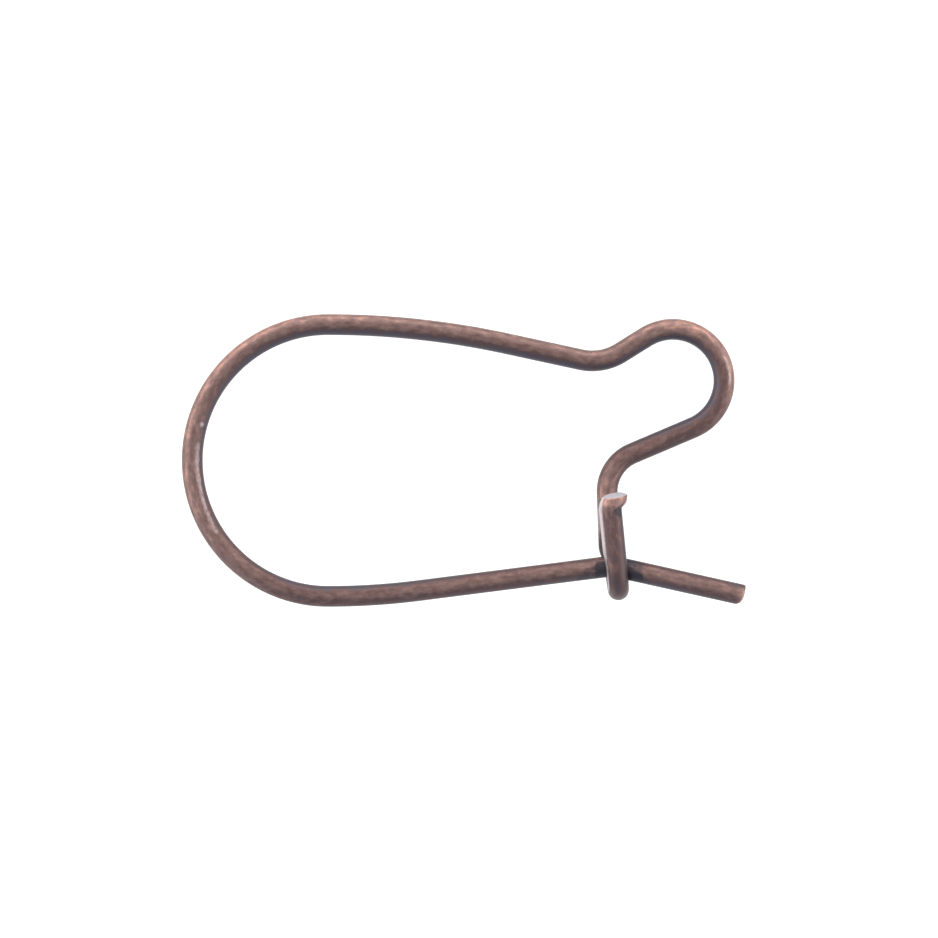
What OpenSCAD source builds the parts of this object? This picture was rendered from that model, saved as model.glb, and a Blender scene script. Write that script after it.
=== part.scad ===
// Kidney ear wire: one wire bent to a long loop that its own pin closes in a small catch.
// It lies flat with the pendant loop to the right. Its middle is on X = Y = 0 and its
// underside on Z = 0. All radii and places are those of the middle of the wire.

/* [Wire] */
// Diameter of the wire
wire_d = 0.8; // [0.6:0.02:0.9]
// Depth of the slope that eases each cut end
cut_ease = 0.06; // [0.02:0.01:0.12]

/* [Ear bend and arms] */
// Radius of the wide bend that hangs in the ear
ear_r = 5.17; // [4.8:0.01:5.5]
// Radius to which the upper arm is bowed
upper_bow_r = 32.2; // [26:0.2:38]
// Slope of the upper arm where it runs down to the dip, in degrees
upper_slope = 12.2; // [10:0.2:14]
// Radius to which the lower arm is bowed
lower_bow_r = 27.4; // [22:0.2:34]

/* [Pendant loop] */
// Place of the pendant loop along the part, from the middle of the ear bend
loop_x = 13.12; // [12.8:0.02:13.8]
// Height of the pendant loop above the middle of the ear bend
loop_y = 3.04; // [2.7:0.02:3.3]
// Radius of the pendant loop
loop_r = 1.95; // [1.75:0.01:2.1]
// Slope of the neck between the dip and the pendant loop, in degrees
neck_slope = 32; // [28:1:38]
// Radius of the dip between the upper arm and the neck
dip_r = 2.04; // [1.6:0.02:2.3]
// Slope of the ramp that leads from the back leg up to the pendant loop, in degrees
ramp_slope = 23; // [16:1:28]

/* [Catch] */
// Place of the catch along the part, from the middle of the ear bend
catch_x = 10.95; // [10.6:0.01:11.2]
// Depth of the catch below the middle of the ear bend
catch_y = 4.06; // [3.8:0.01:4.3]
// Room round the pin inside the catch
catch_room = 0.04; // [0.03:0.01:0.12]
// Lean of the catch and its front leg, in degrees
catch_lean = 5.5; // [4:0.5:8]
// Turn of the catch that brings its front leg to the right of its back leg, in degrees
catch_skew = 1; // [0:0.5:5]
// Radius of the bend at the foot of the back leg
foot_r = 1; // [0.8:0.05:1.6]
// Lean of the back leg between its foot and its heel, in degrees
foot_lean = 21; // [14:1:24]
// Straight length of the back leg between its foot and its heel
heel_len = 0.37; // [0.2:0.01:0.5]
// Radius of the heel, a kink in the back leg
heel_r = 0.8; // [0.7:0.05:1.4]
// Lean of the back leg above its heel, in degrees
leg_lean = 2; // [0:0.2:4]
// Radius of the bend between the back leg and the ramp
leg_r = 1.58; // [1.3:0.02:1.9]
// Straight length of the front leg
front_len = 2.12; // [1.5:0.02:2.3]
// Radius of the bend below the lip
lip_r = 0.9; // [0.7:0.05:1.4]
// Angle by which the lip stands off the front leg, in degrees
lip_angle = 20; // [10:1:35]
// Way the lip stands off, from straight up out of the part round to the right, in degrees
lip_turn = 42; // [0:2:90]
// Length of the lip past its bend
lip_len = 0.32; // [0.2:0.02:0.6]

/* [Pin] */
// Slope of the wire in the middle of the catch, in degrees
pin_dip = 6; // [4:0.5:8]
// Slope of the pin past the catch, in degrees
pin_drop = 12.5; // [10:0.5:15]
// Radius of the bend at the start of the pin
pin_bend_r = 2.4; // [1.8:0.1:3]
// Radius of the slight bow in which that bend runs out
pin_bow_r = 30; // [26:1:40]
// Angle of that bow, in degrees
pin_bow_turn = 1.2; // [1:0.1:1.6]
// Length of the straight pin past the bow
pin_len = 4.15; // [3.4:0.05:4.8]

/* [Hidden] */
wire_r = wire_d / 2;
$fn = 48;

// Each stretch of wire stops this much short of a joint. A ball there, wider than the wire
// by no more than the eye can see, closes the joint to the next stretch.
JOINT_GAP = 0.01;
JOINT_RISE = 0.002;
ball_r = wire_r + JOINT_RISE;

// A heading is an angle counted from +X towards +Y. A bend is a centre and a radius, and
// the radius is negative where the wire turns to its right.
function centre(bend) = bend[0];
function radius(bend) = bend[1];

// Unit vector along a heading, and the one to its left.
function ahead(h) = [cos(h), sin(h)];
function left(h) = [-sin(h), cos(h)];

// Place where a bend has a given heading.
function place(bend, h) = centre(bend) - left(h) * radius(bend);

// Bend of radius r that joins a line through p with heading hp to a line through q with hq.
function join(p, hp, q, hq, r) =
    let (a = p + left(hp) * r)
    let (b = q + left(hq) * r)
    let (along = (b - a) * left(hq) / (ahead(hp) * left(hq)))
    [a + ahead(hp) * along, r];

// Heading of the line that touches two bends one after the other.
function between(one, two) =
    let (gap = centre(two) - centre(one))
    atan2(gap.y, gap.x) - asin((radius(two) - radius(one)) / norm(gap));

// The pin crosses the catch at a slant, so the catch's radius is that of a square crossing
// over the cosine of the slant.
pin_rise = asin(wire_d / (catch_x + ear_r));
pin_dir = [cos(pin_dip) * cos(pin_rise), -sin(pin_dip), cos(pin_dip) * sin(pin_rise)];
catch_dir = [cos(catch_lean) * cos(catch_skew), sin(catch_lean) * cos(catch_skew), -sin(catch_skew)];
catch_r = (wire_d + catch_room) / (pin_dir * catch_dir);
catch_c = [catch_x, -catch_y];
catch_up = catch_r * cos(catch_skew);
leg_foot = catch_c - ahead(catch_lean) * catch_r * sin(catch_skew);

// Headings of the catch, of the straight stretches from the back leg's foot to the upper
// arm, and of the pin and the bow before it.
catch_way = 90 + catch_lean;
foot_way = 90 + foot_lean;
leg_way = 90 + leg_lean;
ramp_way = ramp_slope;
neck_way = 180 + neck_slope;
arm_way = 180 - upper_slope;
pin_way = -pin_drop;
bow_way = pin_way + pin_bow_turn;

// Bends in the order of the wire.
loop_bend = [[loop_x, loop_y], loop_r];
upper_bow = [[0, ear_r - upper_bow_r], upper_bow_r];
ear_bend = [[0, 0], ear_r];
lower_bow = [[0, lower_bow_r - ear_r], lower_bow_r];
foot_bend = [leg_foot + left(catch_way) * foot_r, foot_r];
heel_bend = [place(foot_bend, foot_way) + ahead(foot_way) * heel_len - left(foot_way) * heel_r, -heel_r];
leg_bend = join(place(heel_bend, leg_way), leg_way, place(loop_bend, ramp_way), ramp_way, -leg_r);
dip_bend = join(place(loop_bend, neck_way), neck_way, place(upper_bow, arm_way), arm_way, -dip_r);
pin_bend = [catch_c - left(-pin_dip) * pin_bend_r, -pin_bend_r];
pin_bow = [place(pin_bend, bow_way) - left(bow_way) * pin_bow_r, -pin_bow_r];
lower_way = between(lower_bow, pin_bend);
pin_tip = place(pin_bow, pin_way) + ahead(pin_way) * pin_len;

// The lower half of the ear bend swings up about the wire's line at the far left, so that
// the lower arm crosses over the back leg and comes down the middle of the catch.
swing = asin(catch_up / (catch_x + ear_r));

// Outer sizes, which put the part's middle on X = Y = 0.
pin_side = sqrt(1 - pow(cos(pin_drop) * cos(swing), 2));
tip_x = (pin_tip.x + ear_r) * cos(swing) - ear_r;
tip_right = max(
    tip_x + (wire_r - cut_ease) * pin_side,
    tip_x - cut_ease * cos(pin_drop) * cos(swing) + wire_r * pin_side);
tip_low = min(
    pin_tip.y - (wire_r - cut_ease) * cos(pin_drop),
    pin_tip.y + cut_ease * sin(pin_drop) - wire_r * cos(pin_drop));
catch_low = catch_c.y - catch_r * norm([cos(catch_lean), sin(catch_skew) * sin(catch_lean)]) - wire_r;
x_min = -ear_r - ball_r;
x_max = max(tip_right, loop_x + loop_r + wire_r);
y_min = min(-ear_r - ball_r, tip_low, catch_low);
y_max = max(ear_r + ball_r, loop_y + loop_r + wire_r);

// Joint of the flat loop, at the place where a bend has the given heading.
module joint(bend, h)
{
    at(place(bend, h), h)
    ball();
}

// Puts what is drawn along +Y at a place of the flat loop, along the given heading.
module at(p, h)
{
    translate([p.x, p.y, 0])
    rotate([0, 0, h - 90])
    children();
}

// Ball of a joint in wire along Y, with its poles on the wire's own line.
module ball()
{
    rotate([-90, 0, 0])
    sphere(r = ball_r);
}

// Bend of the flat loop, from one heading to another.
module curve(bend, from, to)
{
    r = abs(radius(bend));
    start = radius(bend) > 0 ? from - 90 : to + 90;
    translate([centre(bend).x, centre(bend).y, 0])
    rotate([0, 0, start])
    arc(r, abs(to - from));
}

// Arc of wire round Z, from +X through the given angle.
module arc(r, angle)
{
    gap = JOINT_GAP / r * 180 / PI;
    rotate([0, 0, gap])
    rotate_extrude(angle = angle - 2 * gap, $fn = 120)
    translate([r, 0])
    circle(r = wire_r);
}

// Straight stretch of the flat loop, from p to q.
module line(p, q)
{
    at(p, atan2(q.y - p.y, q.x - p.x))
    rod(norm(q - p));
}

// Straight wire along +Y.
module rod(length)
{
    translate([0, JOINT_GAP, 0])
    rotate([-90, 0, 0])
    cylinder(r = wire_r, h = length - 2 * JOINT_GAP);
}

// Straight wire along +Y that ends in an eased cut.
module end_rod(length)
{
    translate([0, JOINT_GAP, 0])
    rotate([-90, 0, 0])
    rotate_extrude()
    polygon([
        [0, 0],
        [wire_r, 0],
        [wire_r, length - JOINT_GAP - cut_ease],
        [wire_r - cut_ease, length - JOINT_GAP],
        [0, length - JOINT_GAP]]);
}

// From the back leg up to the pendant loop, down the neck and along the upper arm.
module upper_half()
{
    curve(foot_bend, catch_way, foot_way);
    joint(foot_bend, foot_way);
    line(place(foot_bend, foot_way), place(heel_bend, foot_way));
    joint(heel_bend, foot_way);
    curve(heel_bend, foot_way, leg_way);
    joint(heel_bend, leg_way);
    line(place(heel_bend, leg_way), place(leg_bend, leg_way));
    joint(leg_bend, leg_way);
    curve(leg_bend, leg_way, ramp_way);
    joint(leg_bend, ramp_way);
    line(place(leg_bend, ramp_way), place(loop_bend, ramp_way));
    joint(loop_bend, ramp_way);
    curve(loop_bend, ramp_way, neck_way);
    joint(loop_bend, neck_way);
    line(place(loop_bend, neck_way), place(dip_bend, neck_way));
    joint(dip_bend, neck_way);
    curve(dip_bend, neck_way, arm_way);
    joint(dip_bend, arm_way);
    line(place(dip_bend, arm_way), place(upper_bow, arm_way));
    joint(upper_bow, arm_way);
    curve(upper_bow, arm_way, 180);
    joint(ear_bend, 180);
    curve(ear_bend, 180, 270);
    joint(ear_bend, 270);
}

// The rest of the ear bend, the lower arm and the pin, before they are swung up.
module lower_half()
{
    curve(ear_bend, 270, 360);
    joint(ear_bend, 360);
    curve(lower_bow, 0, lower_way);
    joint(lower_bow, lower_way);
    line(place(lower_bow, lower_way), place(pin_bend, lower_way));
    joint(pin_bend, lower_way);
    curve(pin_bend, lower_way, bow_way);
    joint(pin_bend, bow_way);
    curve(pin_bow, bow_way, pin_way);
    joint(pin_bow, pin_way);
    at(place(pin_bow, pin_way), pin_way)
    end_rod(pin_len);
}

// The turn under the pin, the front leg and the lip, from the foot of the back leg.
module catch()
{
    at(leg_foot, catch_way)
    rotate([0, catch_skew, 0])
    {
        ball();
        translate([0, 0, catch_r])
        rotate([90, 0, 90])
        rotate([0, 0, 90])
        arc(catch_r, 180);

        translate([0, 0, 2 * catch_r])
        {
            ball();
            rod(front_len);
            translate([0, front_len, 0])
            rotate([0, lip_turn, 0])
            lip();
        }
    }
}

module lip()
{
    ball();
    translate([0, 0, lip_r])
    rotate([90, 0, 90])
    rotate([0, 0, -90])
    arc(lip_r, lip_angle);

    translate([0, 0, lip_r])
    rotate([lip_angle, 0, 0])
    translate([0, 0, -lip_r])
    {
        ball();
        end_rod(lip_len);
    }
}

module ear_wire()
{
    color("#6f5249")
    translate([-(x_min + x_max) / 2, -(y_min + y_max) / 2, ball_r])
    {
        upper_half();

        translate([-ear_r, 0, 0])
        rotate([0, -swing, 0])
        translate([ear_r, 0, 0])
        lower_half();

        catch();
    }
}

ear_wire();
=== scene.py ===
"""Kidney ear wire of antique copper plated wire, lying on a pale studio floor."""

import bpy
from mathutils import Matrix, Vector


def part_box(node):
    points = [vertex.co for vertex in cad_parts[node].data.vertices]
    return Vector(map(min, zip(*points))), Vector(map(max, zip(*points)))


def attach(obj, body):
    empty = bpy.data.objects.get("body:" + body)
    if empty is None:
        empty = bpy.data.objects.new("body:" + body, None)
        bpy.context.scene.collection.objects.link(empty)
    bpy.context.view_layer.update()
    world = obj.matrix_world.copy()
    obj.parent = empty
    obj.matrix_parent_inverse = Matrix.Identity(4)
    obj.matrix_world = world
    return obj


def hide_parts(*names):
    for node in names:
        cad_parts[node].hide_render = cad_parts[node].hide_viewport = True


bl_info = {
    "name": "Kidney Ear Wire",
    "version": (1, 0, 0),
    "blender": (4, 5, 0),
    "location": "3D View > Sidebar > Ear Wire",
    "description": "Bends an antique copper ear wire round its frame and sets a floor under it",
    "category": "Object",
}

from math import asin, ceil, cos, pi, radians, sin

import bpy
import numpy as np
from bpy.props import FloatProperty, FloatVectorProperty, PointerProperty

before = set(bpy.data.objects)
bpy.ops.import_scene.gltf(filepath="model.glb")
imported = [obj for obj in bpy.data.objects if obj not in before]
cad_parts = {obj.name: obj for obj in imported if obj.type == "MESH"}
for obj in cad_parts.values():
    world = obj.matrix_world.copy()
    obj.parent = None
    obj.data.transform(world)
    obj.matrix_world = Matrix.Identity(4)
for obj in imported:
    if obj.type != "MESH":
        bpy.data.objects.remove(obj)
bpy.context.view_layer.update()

MM = 0.001
NODE = "ear_wire"

# The mesh has a ring at every step along the wire, closer together near its two ends, and each
# ring has this many corners. The line that the rings follow has its points closer together still.
RING_STEP = 0.04 * MM
END_STEP = 0.01 * MM
END_LENGTH = 8 * RING_STEP
LINE_STEP = RING_STEP / 4
RING_CORNERS = 56

# Points of the line that are closer together than this, in metres, are the same point.
SAME_POINT = 1e-9

# The lip's spread stays full over a part of its length, more of it the higher the first number,
# and the second keeps it to the outer side.
SPREAD_HOLD = 1.6
SPREAD_FOCUS = 1.5

# How sharp the ridge on the front leg is, and where it has run out and how gently, as shares of
# the leg's length.
RIDGE_FOCUS = 4
RIDGE_END = 1.35
RIDGE_FADE = 0.4

# How much dark film is painted on, from 0 to 1, at places along the wire given in
# millimetres from the lip's end: on the loop's inner side, on top, on the outer side and below.
# It is partly the patina that the rubbing left in the hollows and partly painted shade that
# darkens the outer and lower flanks. Where it runs down to nothing, bright copper shows as a
# painted highlight, as on the outer sides of the pendant loop and of the ear bend.
# From the lip to the middle of the catch turn, what is called top faces the floor.
ALONG, INNER, TOP, OUTER, UNDER = range(5)
FILM_AND_SHADE_LEFT = (
    (0.0, 0.15, 0.1, 0.3, 0.0),
    (0.25, 0.2, 0.2, 0.3, 0.05),
    (0.6, 0.45, 0.5, 0.4, 0.35),
    (1.3, 0.5, 0.5, 0.65, 0.42),
    (2.6, 0.5, 0.5, 0.65, 0.45),
    (4.0, 0.5, 0.65, 0.5, 0.5),
    (6.2, 0.55, 0.5, 0.5, 0.7),
    (7.4, 0.2, 0.3, 0.45, 0.7),
    (8.2, 0.2, 0.15, 0.4, 0.7),
    (8.8, 0.35, 0.2, 0.45, 0.7),
    (9.6, 0.45, 0.32, 0.5, 0.75),
    (11.5, 0.6, 0.35, 0.6, 0.8),
    (13.3, 0.7, 0.45, 0.35, 0.8),
    (15.0, 0.7, 0.4, 0.1, 0.8),
    (17.6, 0.7, 0.15, 0.07, 0.8),
    (20.0, 0.65, 0.3, 0.22, 0.8),
    (24.0, 0.7, 0.35, 0.18, 0.8),
    (30.0, 0.65, 0.3, 0.14, 0.8),
    (34.5, 0.7, 0.3, 0.0, 0.8),
    (38.0, 0.6, 0.25, 0.13, 0.8),
    (41.0, 0.5, 0.22, 0.18, 0.8),
    (44.0, 0.45, 0.25, 0.25, 0.8),
    (47.0, 0.64, 0.36, 0.46, 0.8),
    (51.0, 0.62, 0.28, 0.51, 0.8),
    (56.8, 0.4, 0.3, 0.6, 0.8),
    (60.0, 0.45, 0.25, 0.7, 0.8),
    (63.0, 0.45, 0.25, 0.65, 0.7),
    (63.5, 0.6, 0.2, 0.6, 0.7),
    (63.8, 0.35, 0.1, 0.2, 0.3),
)

# Round the wire, the sides of that table and the angles from the top, in degrees, where each
# holds in full. Angles count from the top towards the inner side.
SIDES = (UNDER, OUTER, TOP, INNER, UNDER)
SIDE_ANGLES = (-180, -70, 0, 58, 180)

# Single marks. Each has its start and end in millimetres along the wire, its angle from the top
# towards the inner side at its start and at its end in degrees, half its width in degrees, and
# how strong it is from 0 to 1. Bright marks are partly plating rubbed down to bare metal and
# partly painted highlights: the bright rim down the front leg's side, the glare on the back leg,
# the glint on the pendant loop and the light streaks inside the ear bend. Soot marks are partly
# trapped black film and partly painted shadow: under the lip's overhang, on the back leg behind
# the front leg, on the pin where the catch shades it and along the pin's outer side.
WEAR_AND_HIGHLIGHT_MARKS = (
    (-0.5, 0.35, 180, 180, 55, 0.07),
    (-0.5, 2.5, 104, 104, 16, 0.62),
    (2.2, 3.8, 104, 98, 15, 0.56),
    (6.3, 8.3, 72, 64, 12, 0.14),
    (6.7, 7.8, 71, 66, 18, 0.26),
    (14.8, 15.9, -34, -30, 10, 0.17),
    (38.15, 38.4, 27, 28, 13, 0.23),
    (38.95, 40.6, 28, 28, 14, 0.19),
    (40.3, 42.8, 34, 19, 12, 0.18),
)
# Nearly black marks: partly trapped film, partly painted shadow under the lip and round the catch.
SOOT_AND_SHADOW_MARKS = (
    (0.43, 0.85, -133, -125, 38, 1.0),
    (0.6, 3.6, 180, 180, 60, 0.15),
    (5.6, 6.6, 60, 60, 50, 0.5),
    (57.3, 59.0, -82, -70, 40, 0.45),
    (57.6, 59.0, -55, -45, 62, 0.35),
    (58.05, 59.0, -36, -27, 66, 1.0),
    (58.9, 59.65, 20, 20, 90, 0.9),
    (58.9, 59.9, 20, 20, 75, 0.45),
    (58.9, 60.0, -45, -72, 62, 1.0),
    (58.9, 60.35, -60, -82, 45, 0.4),
    (59.5, 63.4, -85, -90, 22, 0.4),
)

# How softly a mark ends, in degrees round the wire and in millimetres along it.
MARK_EDGE = 20
MARK_END = 0.25

# Clouds and grain of the film per millimetre of wire: the clouds are about 0.2 mm across and the
# grain about 0.1 mm. The rubbing drew both out along the wire, this many times as long.
CLOUDS_PER_MM = 5.5
GRAINS_PER_MM = 12.0
DRAWN_OUT = 2

# By how much the clouds make the film thicker and thinner, and at which of its thicknesses it has
# which colour. Bright copper is at 0.
CLOUD_DEPTH = 0.65
COPPER_AT, UMBER_AT, PATINA_AT = 0.2, 0.45, 0.68

# The trapped film and painted shadow follow the clouds too: their thickness is the clouds' times
# the first number, plus the second.
SOOT_AND_SHADOW_DEPTH = 2.5
SOOT_AND_SHADOW_LEAST = -0.05

# By how much the grain breaks the edge of a worn place or painted highlight, and from where to
# where it turns bare.
GRAIN_BITE = 0.35
BARE_AND_HIGHLIGHT_FROM, BARE_AND_HIGHLIGHT_TO = 0.24, 1.14

# Grain at which the cut face has the most plating smeared over it and the least, and how much of
# its own metal still shows at the most.
MOST_SMEARED, LEAST_SMEARED = 0.35, 0.6
CLEAR_OF_SMEAR = 0.7

# Roughness where the film is thin, where it is thick and on the torn cut face, and how high the
# grain stands.
THIN_FILM_ROUGH, THICK_FILM_ROUGH, TORN_ROUGH = 0.38, 0.5, 0.95
GRAIN_HEIGHT = 0.004 * MM

# The floor reaches this far to each side.
FLOOR_REACH = 1.5

# How strong the light of the walls and of the ceiling is, and from which height to which one goes
# over into the other, where the floor is 0 and straight above is 1.
WALL_LIGHT, CEILING_LIGHT = 4.3, 1.8
WALL_TOP, CEILING = 0.05, 1.0

# The way to the back of the studio, the dim and cool light of its front, and where on that way
# the front's light is at its full strength and where it ends, with the middle at 0.
TO_BACK = (0.1, 0.99, 0)
FRONT_LIGHT = (0.3, 0.35, 0.42, 1)
FRONT_FULL, FRONT_ENDS = -1.0, 0.15

# The photograph is this many pixels wide and high, and the wire of 0.8 mm is 21 of them across.
# The middle of the ear bend lies at this pixel from its left and from its top.
PICTURE = 938
PIXEL = 0.8 * MM / 21
EAR_FROM_LEFT, EAR_FROM_TOP = 327.75, 459.9
CAMERA_HEIGHT = 0.4
CLIP_START, CLIP_END = 0.01, 10
SENSOR = 36


def linear(hex_colour):
    """Linear red, green and blue of an sRGB colour written as six hex digits."""
    parts = [int(hex_colour[i : i + 2], 16) / 255 for i in (0, 2, 4)]
    return tuple(c / 12.92 if c <= 0.04045 else ((c + 0.055) / 1.055) ** 2.4 for c in parts)


def length(name, description, mm):
    """Property of a length, its default given in millimetres."""
    return FloatProperty(
        name=name, description=description, default=mm * MM, subtype="DISTANCE", precision=6
    )


def angle(name, description, degrees):
    """Property of an angle, its default given in degrees."""
    return FloatProperty(
        name=name, description=description, default=radians(degrees), subtype="ANGLE"
    )


def colour(name, description, hex_colour):
    """Property of a colour, its default given as sRGB hex digits."""
    return FloatVectorProperty(
        name=name, description=description, default=linear(hex_colour), subtype="COLOR",
        min=0, max=1,
    )


class WireSizes(bpy.types.PropertyGroup):
    """Sizes of the bent wire, all to the middle of the wire."""

    wire_d: length("Wire Diameter", "Diameter of the wire", 0.8)
    cut_ease: length("Cut Easing", "How far the edge of a cut end is rounded", 0.06)
    joint_rise: length("Frame Rise", "How far the frame's joints stand out of its wire", 0.002)
    ear_r: length("Ear Bend Radius", "Radius of the wide bend that hangs in the ear", 5.17)
    upper_bow_r: length("Upper Bow Radius", "Radius to which the upper arm is bowed", 32.2)
    upper_slope: angle("Upper Slope", "Slope of the upper arm down to the dip", 12.2)
    lower_bow_r: length("Lower Bow Radius", "Radius to which the lower arm is bowed", 27.4)
    loop_x: length("Loop Distance", "Distance along the part from ear bend to loop", 13.12)
    loop_y: length("Loop Height", "Pendant loop's height above the middle of the ear bend", 3.04)
    loop_r: length("Loop Radius", "Radius of the pendant loop", 1.95)
    neck_slope: angle("Neck Slope", "Slope of the neck between dip and pendant loop", 32)
    dip_r: length("Dip Radius", "Radius of the dip between upper arm and neck", 2.04)
    ramp_slope: angle("Ramp Slope", "Slope of the ramp from back leg to pendant loop", 23)
    catch_x: length("Catch Distance", "Catch's distance along the part from the ear bend", 10.95)
    catch_y: length("Catch Depth", "Depth of the catch below the middle of the ear bend", 4.06)
    catch_room: length("Catch Room", "Room round the pin inside the catch", 0.04)
    catch_lean: angle("Catch Lean", "Lean of the catch and its front leg", 5.5)
    catch_skew: angle("Catch Skew", "Turn that brings the front leg right of the back leg", 1)
    foot_r: length("Foot Radius", "Radius of the bend at the foot of the back leg", 1)
    foot_lean: angle("Foot Lean", "Lean of the back leg between its foot and its heel", 21)
    heel_len: length("Heel Length", "Straight length between foot and heel", 0.37)
    heel_r: length("Heel Radius", "Radius of the kink in the back leg", 0.8)
    leg_lean: angle("Leg Lean", "Lean of the back leg above its heel", 2)
    leg_r: length("Leg Bend Radius", "Radius of the bend between back leg and ramp", 1.58)
    front_len: length("Front Leg Length", "Straight length of the front leg", 2.12)
    lip_r: length("Lip Radius", "Radius of the bend below the lip", 0.9)
    lip_angle: angle("Lip Angle", "Angle by which the lip stands off the front leg", 20)
    lip_turn: angle("Lip Turn", "Way the lip stands off, from straight up round to the right", 42)
    lip_len: length("Lip Length", "Length of the lip past its bend", 0.32)
    lip_spread: length("Lip Spread", "How far the cutters spread the lip's end outwards", 0.15)
    lip_spread_len: length("Lip Spread Length", "How far down from its end the lip is spread", 0.5)
    lip_slant: length("Lip Slant", "How far the cut of the lip slants to either side", 0.12)
    leg_ridge: length("Leg Ridge", "Height of the pliers' ridge inside the front leg", 0.07)
    tip_ease: length("Tip Easing", "How far the whole edge of the pin's tip is rounded", 0.1)
    tip_drop: length("Tip Drop", "How far in the outer side of the pin's tip is rounded", 0.34)
    tip_len: length("Tip Length", "Length over which that side of the tip is rounded", 0.3)
    pin_dip: angle("Pin Dip", "Slope of the wire in the middle of the catch", 6)
    pin_drop: angle("Pin Drop", "Slope of the pin past the catch", 12.5)
    pin_bend_r: length("Pin Bend Radius", "Radius of the bend at the start of the pin", 2.4)
    pin_bow_r: length("Pin Bow Radius", "Radius of the slight bow in which that bend runs out", 30)
    pin_bow_turn: angle("Pin Bow Angle", "Angle of that bow", 1.2)
    pin_len: length("Pin Length", "Length of the straight pin past the bow", 4.15)


class FinishColours(bpy.types.PropertyGroup):
    """Colours of the plating and of the floor."""

    # Where the film table runs out, bright copper also paints highlights; where it is thick, brown
    # copper and patina also paint shade on the outer and lower flanks.
    bright: colour("Bright Copper", "Copper rubbed bright on the cut ends", "967166")
    copper: colour("Rubbed Copper", "Copper where the dark film was rubbed off", "6A5551")
    umber: colour("Brown Copper", "Copper where half of the film is left on it", "503E3C")
    patina: colour("Patina", "Grey film left where nothing rubbed it", "454148")
    # Nearly black: trapped film, and painted shadow under the lip and round the catch.
    soot_and_shadow: colour("Trapped Film", "Nearly black film trapped beside the catch", "353136")
    # Pale metal: plating worn through, and painted highlights on the catch's legs, the pendant loop
    # and the ear bend.
    bare_and_highlight: colour("Bare Metal", "Pale metal where the plating is worn through", "D4CECF")
    sheared: colour("Sheared Metal", "Dull metal of the lip's cut face", "A6A5AB")
    floor: colour("Floor", "Opal acrylic of the light table", "A9A9A9")


class EarWireSettings(bpy.types.PropertyGroup):
    """All that the panel shows."""

    sizes: PointerProperty(type=WireSizes)
    colours: PointerProperty(type=FinishColours)


# The centre line is drawn flat first, as part of a plane seen from above. A heading is an angle
# from +X towards +Y. A bend is its centre and its radius, negative where the wire turns right.


def ahead(heading):
    """Direction of a heading."""
    return np.array([cos(heading), sin(heading)])


def left(heading):
    """Direction to the left of a heading."""
    return np.array([-sin(heading), cos(heading)])


def place(bend, heading):
    """Place where a bend has a heading."""
    centre, radius = bend
    return centre - left(heading) * radius


def join(p, way_in, q, way_out, radius):
    """Bend that joins a line through p to a line through q."""
    a = p + left(way_in) * radius
    b = q + left(way_out) * radius
    along = (b - a) @ left(way_out) / (ahead(way_in) @ left(way_out))
    return a + ahead(way_in) * along, radius


def between(one, two):
    """Heading of the line that touches two bends one after the other."""
    gap = two[0] - one[0]
    return np.arctan2(gap[1], gap[0]) - asin((two[1] - one[1]) / np.linalg.norm(gap))


def sweep(bend, start, end):
    """Points of a bend from one heading to another, close enough together to read as a curve."""
    count = ceil(abs((end - start) * bend[1]) / LINE_STEP)
    return [place(bend, h) for h in np.linspace(start, end, max(count, 2))]


def turned(axis, turn):
    """Matrix of a turn round X, Y or Z."""
    c, s = cos(turn), sin(turn)
    a, b = {"X": (1, 2), "Y": (2, 0), "Z": (0, 1)}[axis]
    m = np.eye(3)
    m[a, a] = m[b, b] = c
    m[a, b], m[b, a] = -s, s
    return m


def raised(flat):
    """The same points in space, at height 0."""
    return np.pad(flat, ((0, 0), (0, 1)))


def ear_middle(z):
    """Middle of the ear bend, which touches the left, the back and the floor of the frame's box."""
    low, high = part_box(NODE)
    reach = z.ear_r + z.wire_d / 2 + z.joint_rise
    return np.array([low.x + reach, high.y - reach, low.z + z.wire_d / 2 + z.joint_rise])


def catch_and_lip(z, foot, catch_way, catch_r):
    """Points from the foot of the back leg round the pin and up the front leg to the lip's end."""
    turn = np.linspace(0, pi, ceil(pi * catch_r / LINE_STEP))[1:]
    curl = np.stack([0 * turn, -catch_r * np.sin(turn), catch_r * (1 - np.cos(turn))], 1)
    bend = np.linspace(0, z.lip_angle, ceil(z.lip_angle * z.lip_r / LINE_STEP))
    lip = np.stack([0 * bend, z.lip_r * np.sin(bend), z.lip_r * (1 - np.cos(bend))], 1)
    tip = lip[-1] + np.array([0, cos(z.lip_angle), sin(z.lip_angle)]) * z.lip_len
    leg_top = np.array([0, z.front_len, 2 * catch_r])
    flared = leg_top + np.vstack([lip, tip]) @ turned("Y", z.lip_turn).T
    points = np.vstack([curl, flared])
    facing = turned("Z", catch_way - pi / 2) @ turned("Y", z.catch_skew)
    return np.array([*foot, 0]) + points @ facing.T


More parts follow.
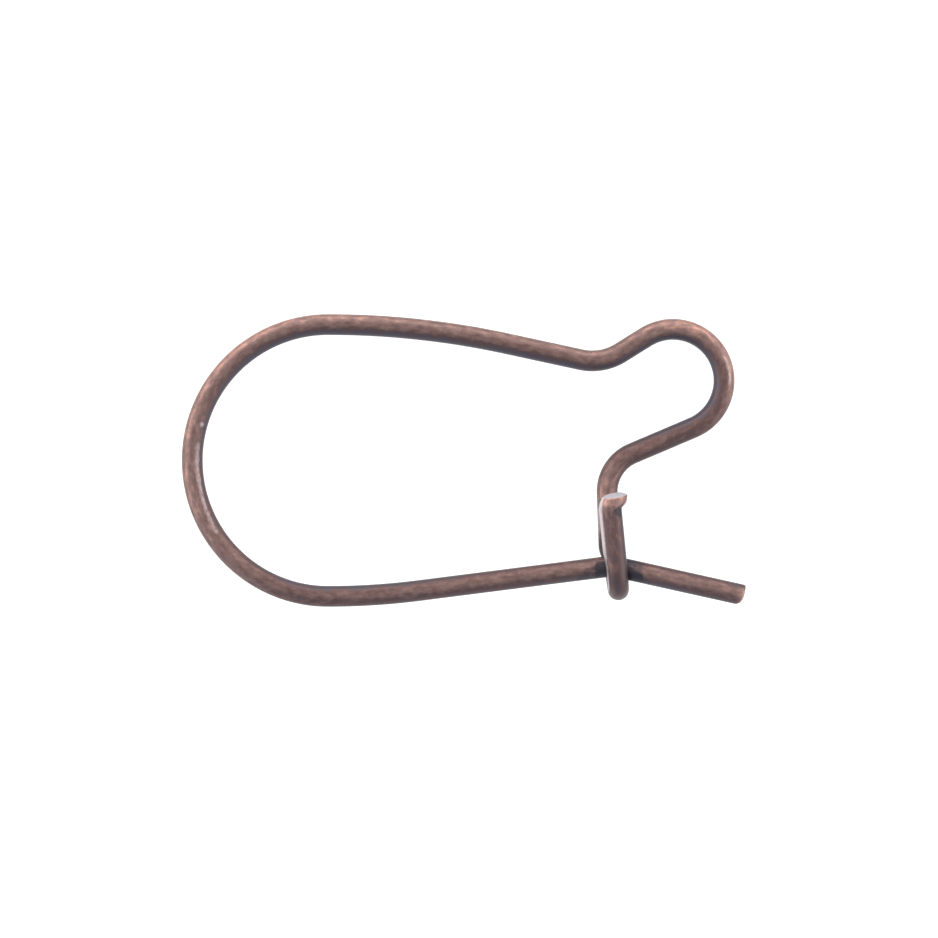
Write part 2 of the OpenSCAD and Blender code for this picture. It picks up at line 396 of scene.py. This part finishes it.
def centre_line(z):
    """Points along the middle of the wire, from the end of the lip to the tip of the pin."""
    # How the pin crosses the catch at a slant sets how wide the catch has to be.
    pin_rise = asin(z.wire_d / (z.catch_x + z.ear_r))
    pin_dir = turned("Z", -z.pin_dip) @ turned("Y", -pin_rise) @ np.array([1, 0, 0])
    catch_dir = turned("Z", z.catch_lean) @ turned("Y", z.catch_skew) @ np.array([1, 0, 0])
    catch_r = (z.wire_d + z.catch_room) / (pin_dir @ catch_dir)
    catch = np.array([z.catch_x, -z.catch_y])
    foot = catch - ahead(z.catch_lean) * catch_r * sin(z.catch_skew)

    catch_way, foot_way, leg_way = (pi / 2 + x for x in (z.catch_lean, z.foot_lean, z.leg_lean))
    ramp_way = z.ramp_slope
    neck_way, arm_way = pi + z.neck_slope, pi - z.upper_slope
    pin_way = -z.pin_drop
    bow_way = pin_way + z.pin_bow_turn

    loop = np.array([z.loop_x, z.loop_y]), z.loop_r
    upper_bow = np.array([0, z.ear_r - z.upper_bow_r]), z.upper_bow_r
    ear = np.zeros(2), z.ear_r
    lower_bow = np.array([0, z.lower_bow_r - z.ear_r]), z.lower_bow_r
    foot_bend = foot + left(catch_way) * z.foot_r, z.foot_r
    heel_start = place(foot_bend, foot_way) + ahead(foot_way) * z.heel_len
    heel = heel_start - left(foot_way) * z.heel_r, -z.heel_r
    leg = join(place(heel, leg_way), leg_way, place(loop, ramp_way), ramp_way, -z.leg_r)
    dip = join(place(loop, neck_way), neck_way, place(upper_bow, arm_way), arm_way, -z.dip_r)
    pin_bend = catch - left(-z.pin_dip) * z.pin_bend_r, -z.pin_bend_r
    pin_bow = place(pin_bend, bow_way) - left(bow_way) * z.pin_bow_r, -z.pin_bow_r
    lower_way = between(lower_bow, pin_bend)

    upper = [
        *sweep(foot_bend, catch_way, foot_way),
        *sweep(heel, foot_way, leg_way),
        *sweep(leg, leg_way, ramp_way),
        *sweep(loop, ramp_way, neck_way),
        *sweep(dip, neck_way, arm_way),
        *sweep(upper_bow, arm_way, pi),
        *sweep(ear, pi, 1.5 * pi),
    ]
    lower = [
        *sweep(ear, 1.5 * pi, 2 * pi),
        *sweep(lower_bow, 0, lower_way),
        *sweep(pin_bend, lower_way, bow_way),
        *sweep(pin_bow, bow_way, pin_way),
        place(pin_bow, pin_way) + ahead(pin_way) * z.pin_len,
    ]
    # The lower half swings up about the wire's line at the far left, onto the catch.
    swing = asin(catch_r * cos(z.catch_skew) / (z.catch_x + z.ear_r))
    hinge = np.array([-z.ear_r, 0, 0])
    swung = hinge + (raised(lower) - hinge) @ turned("Y", -swing).T
    flared = catch_and_lip(z, foot, catch_way, catch_r)[::-1]
    return np.vstack([flared, raised(upper), swung]) + ear_middle(z)


def evenly(line):
    """The same line with a point at every ring step, and how far along the wire each point is."""
    far = np.r_[0, np.cumsum(np.linalg.norm(np.diff(line, axis=0), axis=1))]
    keep = np.r_[True, np.diff(far) > SAME_POINT]
    line, far = line[keep], far[keep]
    end = np.arange(0, END_LENGTH, END_STEP)
    middle = np.linspace(end[-1], far[-1] - end[-1], ceil(far[-1] / RING_STEP))
    along = np.r_[end[:-1], middle, far[-1] - end[-2::-1]]
    return np.stack([np.interp(along, far, line[:, i]) for i in range(3)], 1), along


def smooth(x):
    """Eased step from 0 to 1 as x goes from 0 to 1."""
    x = np.clip(x, 0, 1)
    return x * x * (3 - 2 * x)


def soft_edge(inside, softness):
    """From 0 to 1 across the edge of a mark, a half where the distance inside it is 0."""
    return smooth(inside / softness + 0.5)


def rounded(end, ease):
    """By how much wire is narrower at a distance from its end, where its edge is rounded."""
    return ease * (1 - np.sqrt(1 - (1 - np.clip(end / ease, 0, 1)) ** 2))


def carried_frames(points):
    """Way ahead at each point, and two square directions carried along the wire with no twist."""
    way = np.gradient(points, axis=0)
    way /= np.linalg.norm(way, axis=1)[:, None]
    middle = len(points) // 2
    up = np.zeros_like(points)
    up[middle] = [0, 0, 1]

    def carry(i, j):
        side = up[i] - way[j] * (up[i] @ way[j])
        up[j] = side / np.linalg.norm(side)

    for i in range(middle, len(points) - 1):
        carry(i, i + 1)
    for i in range(middle, 0, -1):
        carry(i, i - 1)
    return way, up, np.cross(up, way)


def wire_rings(z, points, along, angles):
    """Corners of the rings round the wire: its lip is spread, its leg ridged, its tip rounded."""
    way, up, inner = carried_frames(points)
    left_over = along[-1] - along
    to_inner, to_outer = np.maximum(np.sin(angles), 0), np.maximum(-np.sin(angles), 0)
    # The edge of the pin's tip is rounded, most of all on its outer side.
    drop = z.tip_drop / z.tip_len * rounded(left_over, z.tip_len)[:, None] / (z.wire_d / 2)
    across = np.sin(angles) + drop * to_outer
    out = up[:, None] * np.cos(angles)[:, None] + inner[:, None] * across[:, :, None]
    eased = rounded(along, z.cut_ease) + rounded(left_over, z.tip_ease)
    radius = z.wire_d / 2 - eased[:, None]
    # The cutters spread the lip's end to its outer side and left that side longer.
    to_end = 1 - along / z.lip_spread_len
    spread = z.lip_spread * smooth(SPREAD_HOLD * to_end)[:, None] * to_outer ** SPREAD_FOCUS
    slant = z.lip_slant * smooth(to_end)[:, None] * np.sin(angles)
    # The pliers that closed the catch left a low ridge along the front leg, which runs out at
    # its foot.
    to_foot = RIDGE_END - along / z.front_len
    ridge = z.leg_ridge * smooth(along / z.lip_spread_len) * smooth(to_foot / RIDGE_FADE)
    ridge = ridge[:, None] * to_inner ** RIDGE_FOCUS
    away = out * (radius + spread + ridge)[:, :, None]
    return points[:, None] + away + way[:, None] * slant[:, :, None]


def closed_tube(name, rings):
    """Closed mesh through rings of corners, with a flat face over each of its two ends."""
    count, around = rings.shape[:2]
    i, j = np.meshgrid(np.arange(count - 1), np.arange(around), indexing="ij")
    k = (j + 1) % around
    corners = [a * around + b for a, b in ((i, j), (i + 1, j), (i + 1, k), (i, k))]
    quads = np.stack(corners, -1).reshape(-1, 4)
    first = list(range(around))
    last = [(count - 1) * around + c for c in reversed(range(around))]
    mesh = bpy.data.meshes.new(name)
    mesh.from_pydata(rings.reshape(-1, 3).tolist(), [], [*quads.tolist(), first, last])
    mesh.validate()
    mesh.polygons.foreach_set("use_smooth", [True] * len(quads) + [False, False])
    return mesh


def film_and_shade_left(along, angles):
    """How much dark film, partly painted shade, is left at each corner of each ring."""
    table = np.array(FILM_AND_SHADE_LEFT)
    sides = np.array([np.interp(along / MM, table[:, ALONG], table[:, side]) for side in SIDES])
    share = np.interp(angles, np.radians(SIDE_ANGLES), range(len(SIDES)))
    step = np.minimum(share.astype(int), len(SIDES) - 2)
    blend = smooth(share - step)
    return sides[step].T * (1 - blend) + sides[step + 1].T * blend


def marked(marks, along, angles):
    """How strong a list of marks is at each corner of each ring."""
    far = along[:, None] / MM
    strength = np.zeros((len(along), len(angles)))
    for start, end, first, last, half_width, most in marks:
        t = (far - start) / (end - start)
        off = np.degrees(angles) - first - (last - first) * t
        off = np.abs((off + 180) % 360 - 180)
        # A mark grows narrower towards its two ends.
        ends = soft_edge(np.minimum(far - start, end - far), MARK_END)
        edges = soft_edge(half_width * ends - off, MARK_EDGE)
        strength = np.maximum(strength, most * ends * edges)
    return strength


def note_finish(mesh, z, along, angles):
    """Notes at every corner its place on the unbent wire, what was done to the wire there, and the
    painted shade and highlights there.
    """
    unbent = np.stack(
        np.broadcast_arrays(
            np.cos(angles) * z.wire_d / 2, np.sin(angles) * z.wire_d / 2, along[:, None]
        ),
        -1,
    )
    places = mesh.attributes.new("unbent_mm", "FLOAT_VECTOR", "POINT")
    places.data.foreach_set("vector", (unbent / MM).ravel())
    # The first ring is the edge of the lip's cut face.
    sheared = np.zeros(unbent.shape[:2])
    sheared[0] = 1
    values = {
        "film_and_shade_left": film_and_shade_left(along, angles),
        "worn_and_highlit": marked(WEAR_AND_HIGHLIGHT_MARKS, along, angles),
        "soot_and_shadow": marked(SOOT_AND_SHADOW_MARKS, along, angles),
        "sheared": sheared,
    }
    for name, value in values.items():
        mesh.attributes.new(name, "FLOAT", "POINT").data.foreach_set("value", value.ravel())


def add_node(tree, kind, settings=None, **sockets):
    """Adds a node, sets its settings, and fills its sockets with values or with other sockets."""
    node = tree.nodes.new(kind)
    for name, value in (settings or {}).items():
        setattr(node, name, value)
    for name, value in sockets.items():
        socket = node.inputs[int(name[1:]) if name[1:].isdigit() else name.replace("_", " ")]
        if isinstance(value, bpy.types.NodeSocket):
            tree.links.new(value, socket)
        else:
            socket.default_value = value
    return node


def antique_copper(colours):
    """Antique copper: copper plated, darkened in a sulphur bath and rubbed back on the outside."""
    # To the eye it is satin brown in soft clouds where it was rubbed, grey where the film is
    # whole, and nearly black where the film was trapped. Painted shade darkens its outer and lower
    # flanks and the places under the lip and round the catch, and painted highlights lighten some
    # edges.
    mat = bpy.data.materials.new("Antique copper, rubbed back")
    mat.use_nodes = True
    tree = mat.node_tree
    tree.nodes.clear()
    unbent = add_node(
        tree, "ShaderNodeAttribute", {"attribute_name": "unbent_mm"}
    ).outputs["Vector"]
    film_and_shade_kept, trapped, worn_and_highlit, sheared = (
        add_node(tree, "ShaderNodeAttribute", {"attribute_name": name}).outputs["Fac"]
        for name in ("film_and_shade_left", "soot_and_shadow", "worn_and_highlit", "sheared")
    )
    # The film is left in cloudy patches that the rubbing drew out along the wire, with a finer
    # grain in them.
    drawn = add_node(
        tree, "ShaderNodeMapping", Vector=unbent, Scale=(1, 1, 1 / DRAWN_OUT)
    ).outputs[0]
    cloud, grain = (
        add_node(
            tree, "ShaderNodeTexNoise", Vector=drawn, Scale=per_mm, Detail=3.0, Roughness=0.6
        ).outputs["Fac"]
        for per_mm in (CLOUDS_PER_MM, GRAINS_PER_MM)
    )
    patch = add_node(
        tree, "ShaderNodeMath", {"operation": "MULTIPLY_ADD"}, _0=cloud, _1=CLOUD_DEPTH, _2=film_and_shade_kept
    ).outputs[0]
    film = add_node(
        tree, "ShaderNodeMath", {"operation": "SUBTRACT"}, _0=patch, _1=CLOUD_DEPTH / 2
    ).outputs[0]
    # The thinner the film and painted shade, the more copper shows: from grey over brown to bright.
    ramp = add_node(tree, "ShaderNodeValToRGB", Fac=film)
    shades = ramp.color_ramp.elements
    shades[0].color = (*colours.bright, 1)
    shades[1].color = (*colours.patina, 1)
    shades.new(COPPER_AT).color = (*colours.copper, 1)
    shades.new(UMBER_AT).color = (*colours.umber, 1)
    shades.new(PATINA_AT).color = (*colours.patina, 1)
    # The trapped film and painted shadow are thicker and thinner in the same clouds, so their edges
    # are broken.
    thick = add_node(
        tree, "ShaderNodeMath", {"operation": "MULTIPLY_ADD"},
        _0=cloud, _1=SOOT_AND_SHADOW_DEPTH, _2=SOOT_AND_SHADOW_LEAST,
    ).outputs[0]
    settled = add_node(
        tree, "ShaderNodeMath", {"operation": "MULTIPLY"}, _0=trapped, _1=thick
    ).outputs[0]
    sooty_and_shaded = add_node(
        tree, "ShaderNodeMix", {"data_type": "RGBA"},
        _0=settled, _6=ramp.outputs[0], _7=(*colours.soot_and_shadow, 1),
    ).outputs[2]
    # Grain breaks the edges of the places where the plating is worn through and of the painted
    # highlights.
    rubbed = add_node(
        tree, "ShaderNodeMath", {"operation": "MULTIPLY_ADD"}, _0=grain, _1=GRAIN_BITE, _2=worn_and_highlit
    ).outputs[0]
    bare_and_highlight = add_node(
        tree, "ShaderNodeMapRange", Value=rubbed, From_Min=BARE_AND_HIGHLIGHT_FROM, From_Max=BARE_AND_HIGHLIGHT_TO
    ).outputs[0]
    plated = add_node(
        tree, "ShaderNodeMix", {"data_type": "RGBA"}, _0=bare_and_highlight, _6=sooty_and_shaded, _7=(*colours.bare_and_highlight, 1)
    ).outputs[2]
    # The cutters left the cut face torn and dull, with a little of the plating smeared over it.
    clear = add_node(
        tree, "ShaderNodeMapRange",
        Value=grain, From_Min=MOST_SMEARED, From_Max=LEAST_SMEARED, To_Min=CLEAR_OF_SMEAR,
    ).outputs[0]
    torn = add_node(
        tree, "ShaderNodeMath", {"operation": "MULTIPLY"}, _0=clear, _1=sheared
    ).outputs[0]
    skin = add_node(
        tree, "ShaderNodeMix", {"data_type": "RGBA"},
        _0=torn, _6=plated, _7=(*colours.sheared, 1),
    ).outputs[2]
    # Rubbing left the copper satin, the film on it is duller, and the cut face is dullest.
    satin = add_node(
        tree, "ShaderNodeMapRange", Value=film, To_Min=THIN_FILM_ROUGH, To_Max=THICK_FILM_ROUGH
    ).outputs[0]
    rough = add_node(
        tree, "ShaderNodeMix", {"data_type": "FLOAT"}, _0=sheared, _2=satin, _3=TORN_ROUGH
    ).outputs[0]
    bump = add_node(
        tree, "ShaderNodeBump", Strength=0.5, Distance=GRAIN_HEIGHT, Height=grain
    ).outputs[0]
    shader = add_node(
        tree, "ShaderNodeBsdfPrincipled",
        Base_Color=skin, Metallic=1.0, Roughness=rough, Normal=bump,
    )
    add_node(tree, "ShaderNodeOutputMaterial", Surface=shader.outputs[0])
    return mat


def lit_floor(colours):
    """Matt opal acrylic of a light table, lit from below: an even white with hardly a shadow."""
    mat = bpy.data.materials.new("Opal acrylic, matt, lit from below")
    mat.use_nodes = True
    tree = mat.node_tree
    tree.nodes.clear()
    shader = add_node(
        tree, "ShaderNodeBsdfPrincipled",
        Base_Color=(*colours.floor, 1), Roughness=0.9, Specular_IOR_Level=0.2,
        Emission_Color=(*colours.floor, 1), Emission_Strength=2.0,
    )
    add_node(tree, "ShaderNodeOutputMaterial", Surface=shader.outputs[0])
    return mat


def floor_sheet():
    """Square of floor at height 0."""
    mesh = bpy.data.meshes.new("floor")
    r = FLOOR_REACH
    mesh.from_pydata([(-r, -r, 0), (r, -r, 0), (r, r, 0), (-r, r, 0)], [], [(0, 1, 2, 3)])
    return mesh


def studio():
    """Soft light from all round: bright white walls, a dimmer ceiling and a dim, cool front."""
    world = bpy.data.worlds.new("Studio")
    world.use_nodes = True
    tree = world.node_tree
    tree.nodes.clear()
    way = add_node(tree, "ShaderNodeTexCoord").outputs["Generated"]
    height = add_node(tree, "ShaderNodeSeparateXYZ", Vector=way).outputs["Z"]
    light = add_node(
        tree, "ShaderNodeMapRange", {"interpolation_type": "SMOOTHSTEP"}, Value=height,
        From_Min=WALL_TOP, From_Max=CEILING, To_Min=WALL_LIGHT, To_Max=CEILING_LIGHT,
    ).outputs[0]
    back = add_node(
        tree, "ShaderNodeVectorMath", {"operation": "DOT_PRODUCT"}, _0=way, _1=TO_BACK
    ).outputs["Value"]
    white = add_node(
        tree, "ShaderNodeMapRange", {"interpolation_type": "SMOOTHSTEP"},
        Value=back, From_Min=FRONT_FULL, From_Max=FRONT_ENDS,
    ).outputs[0]
    tint = add_node(
        tree, "ShaderNodeMix", {"data_type": "RGBA"}, _0=white, _6=FRONT_LIGHT, _7=(1, 1, 1, 1)
    ).outputs[2]
    sky = add_node(tree, "ShaderNodeBackground", Color=tint, Strength=light)
    add_node(tree, "ShaderNodeOutputWorld", Surface=sky.outputs[0])
    return world


def overhead_camera(z):
    """Camera that looks straight down and frames the wire as the photograph does."""
    optics = bpy.data.cameras.new("camera")
    optics.sensor_width = SENSOR
    optics.lens = SENSOR * CAMERA_HEIGHT / (PICTURE * PIXEL)
    optics.clip_start, optics.clip_end = CLIP_START, CLIP_END
    ear = ear_middle(z)
    middle = (PICTURE - 1) / 2
    camera = bpy.data.objects.new("camera", optics)
    camera.location = (
        ear[0] + (middle - EAR_FROM_LEFT) * PIXEL,
        ear[1] - (middle - EAR_FROM_TOP) * PIXEL,
        CAMERA_HEIGHT,
    )
    return camera


class EARWIRE_OT_bend_wire(bpy.types.Operator):
    """Bend the wire along its line, close its two ends and give it its finish"""

    bl_idname = "ear_wire.bend_wire"
    bl_label = "Bend Wire"

    def execute(self, context):
        settings = context.scene.ear_wire
        z = settings.sizes
        points, along = evenly(centre_line(z))
        angles = np.linspace(-pi, pi, RING_CORNERS, endpoint=False)
        mesh = closed_tube("ear_wire_bent", wire_rings(z, points, along, angles))
        note_finish(mesh, z, along, angles)
        mesh.materials.append(antique_copper(settings.colours))
        piece = bpy.data.objects.new("bent_wire", mesh)
        context.scene.collection.objects.link(piece)
        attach(piece, "root")
        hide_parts(NODE)
        return {"FINISHED"}


class EARWIRE_OT_set_stage(bpy.types.Operator):
    """Lay the floor and set the lights and the camera"""

    bl_idname = "ear_wire.set_stage"
    bl_label = "Set Stage"

    def execute(self, context):
        scene = context.scene
        settings = scene.ear_wire
        mesh = floor_sheet()
        mesh.materials.append(lit_floor(settings.colours))
        floor = bpy.data.objects.new("floor", mesh)
        scene.collection.objects.link(floor)

        scene.world = studio()
        camera = overhead_camera(settings.sizes)
        scene.collection.objects.link(camera)
        bpy.context.scene.camera = camera
        scene.view_settings.view_transform = "Standard"
        return {"FINISHED"}


class EARWIRE_PT_panel(bpy.types.Panel):
    """Lists the sizes, the colours and the steps"""

    bl_label = "Ear Wire"
    bl_space_type = "VIEW_3D"
    bl_region_type = "UI"
    bl_category = "Ear Wire"

    def draw(self, context):
        settings = context.scene.ear_wire
        layout = self.layout
        for group in (settings.sizes, settings.colours):
            column = layout.column()
            for name in group.__annotations__:
                column.prop(group, name)
        layout.operator(EARWIRE_OT_bend_wire.bl_idname)
        layout.operator(EARWIRE_OT_set_stage.bl_idname)


CLASSES = (
    WireSizes,
    FinishColours,
    EarWireSettings,
    EARWIRE_OT_bend_wire,
    EARWIRE_OT_set_stage,
    EARWIRE_PT_panel,
)


def register():
    for cls in CLASSES:
        bpy.utils.register_class(cls)
    bpy.types.Scene.ear_wire = PointerProperty(type=EarWireSettings)


def unregister():
    del bpy.types.Scene.ear_wire
    for cls in reversed(CLASSES):
        bpy.utils.unregister_class(cls)


def main():
    register()
    bpy.ops.ear_wire.bend_wire()
    bpy.ops.ear_wire.set_stage()


if __name__ == "__main__":
    main()
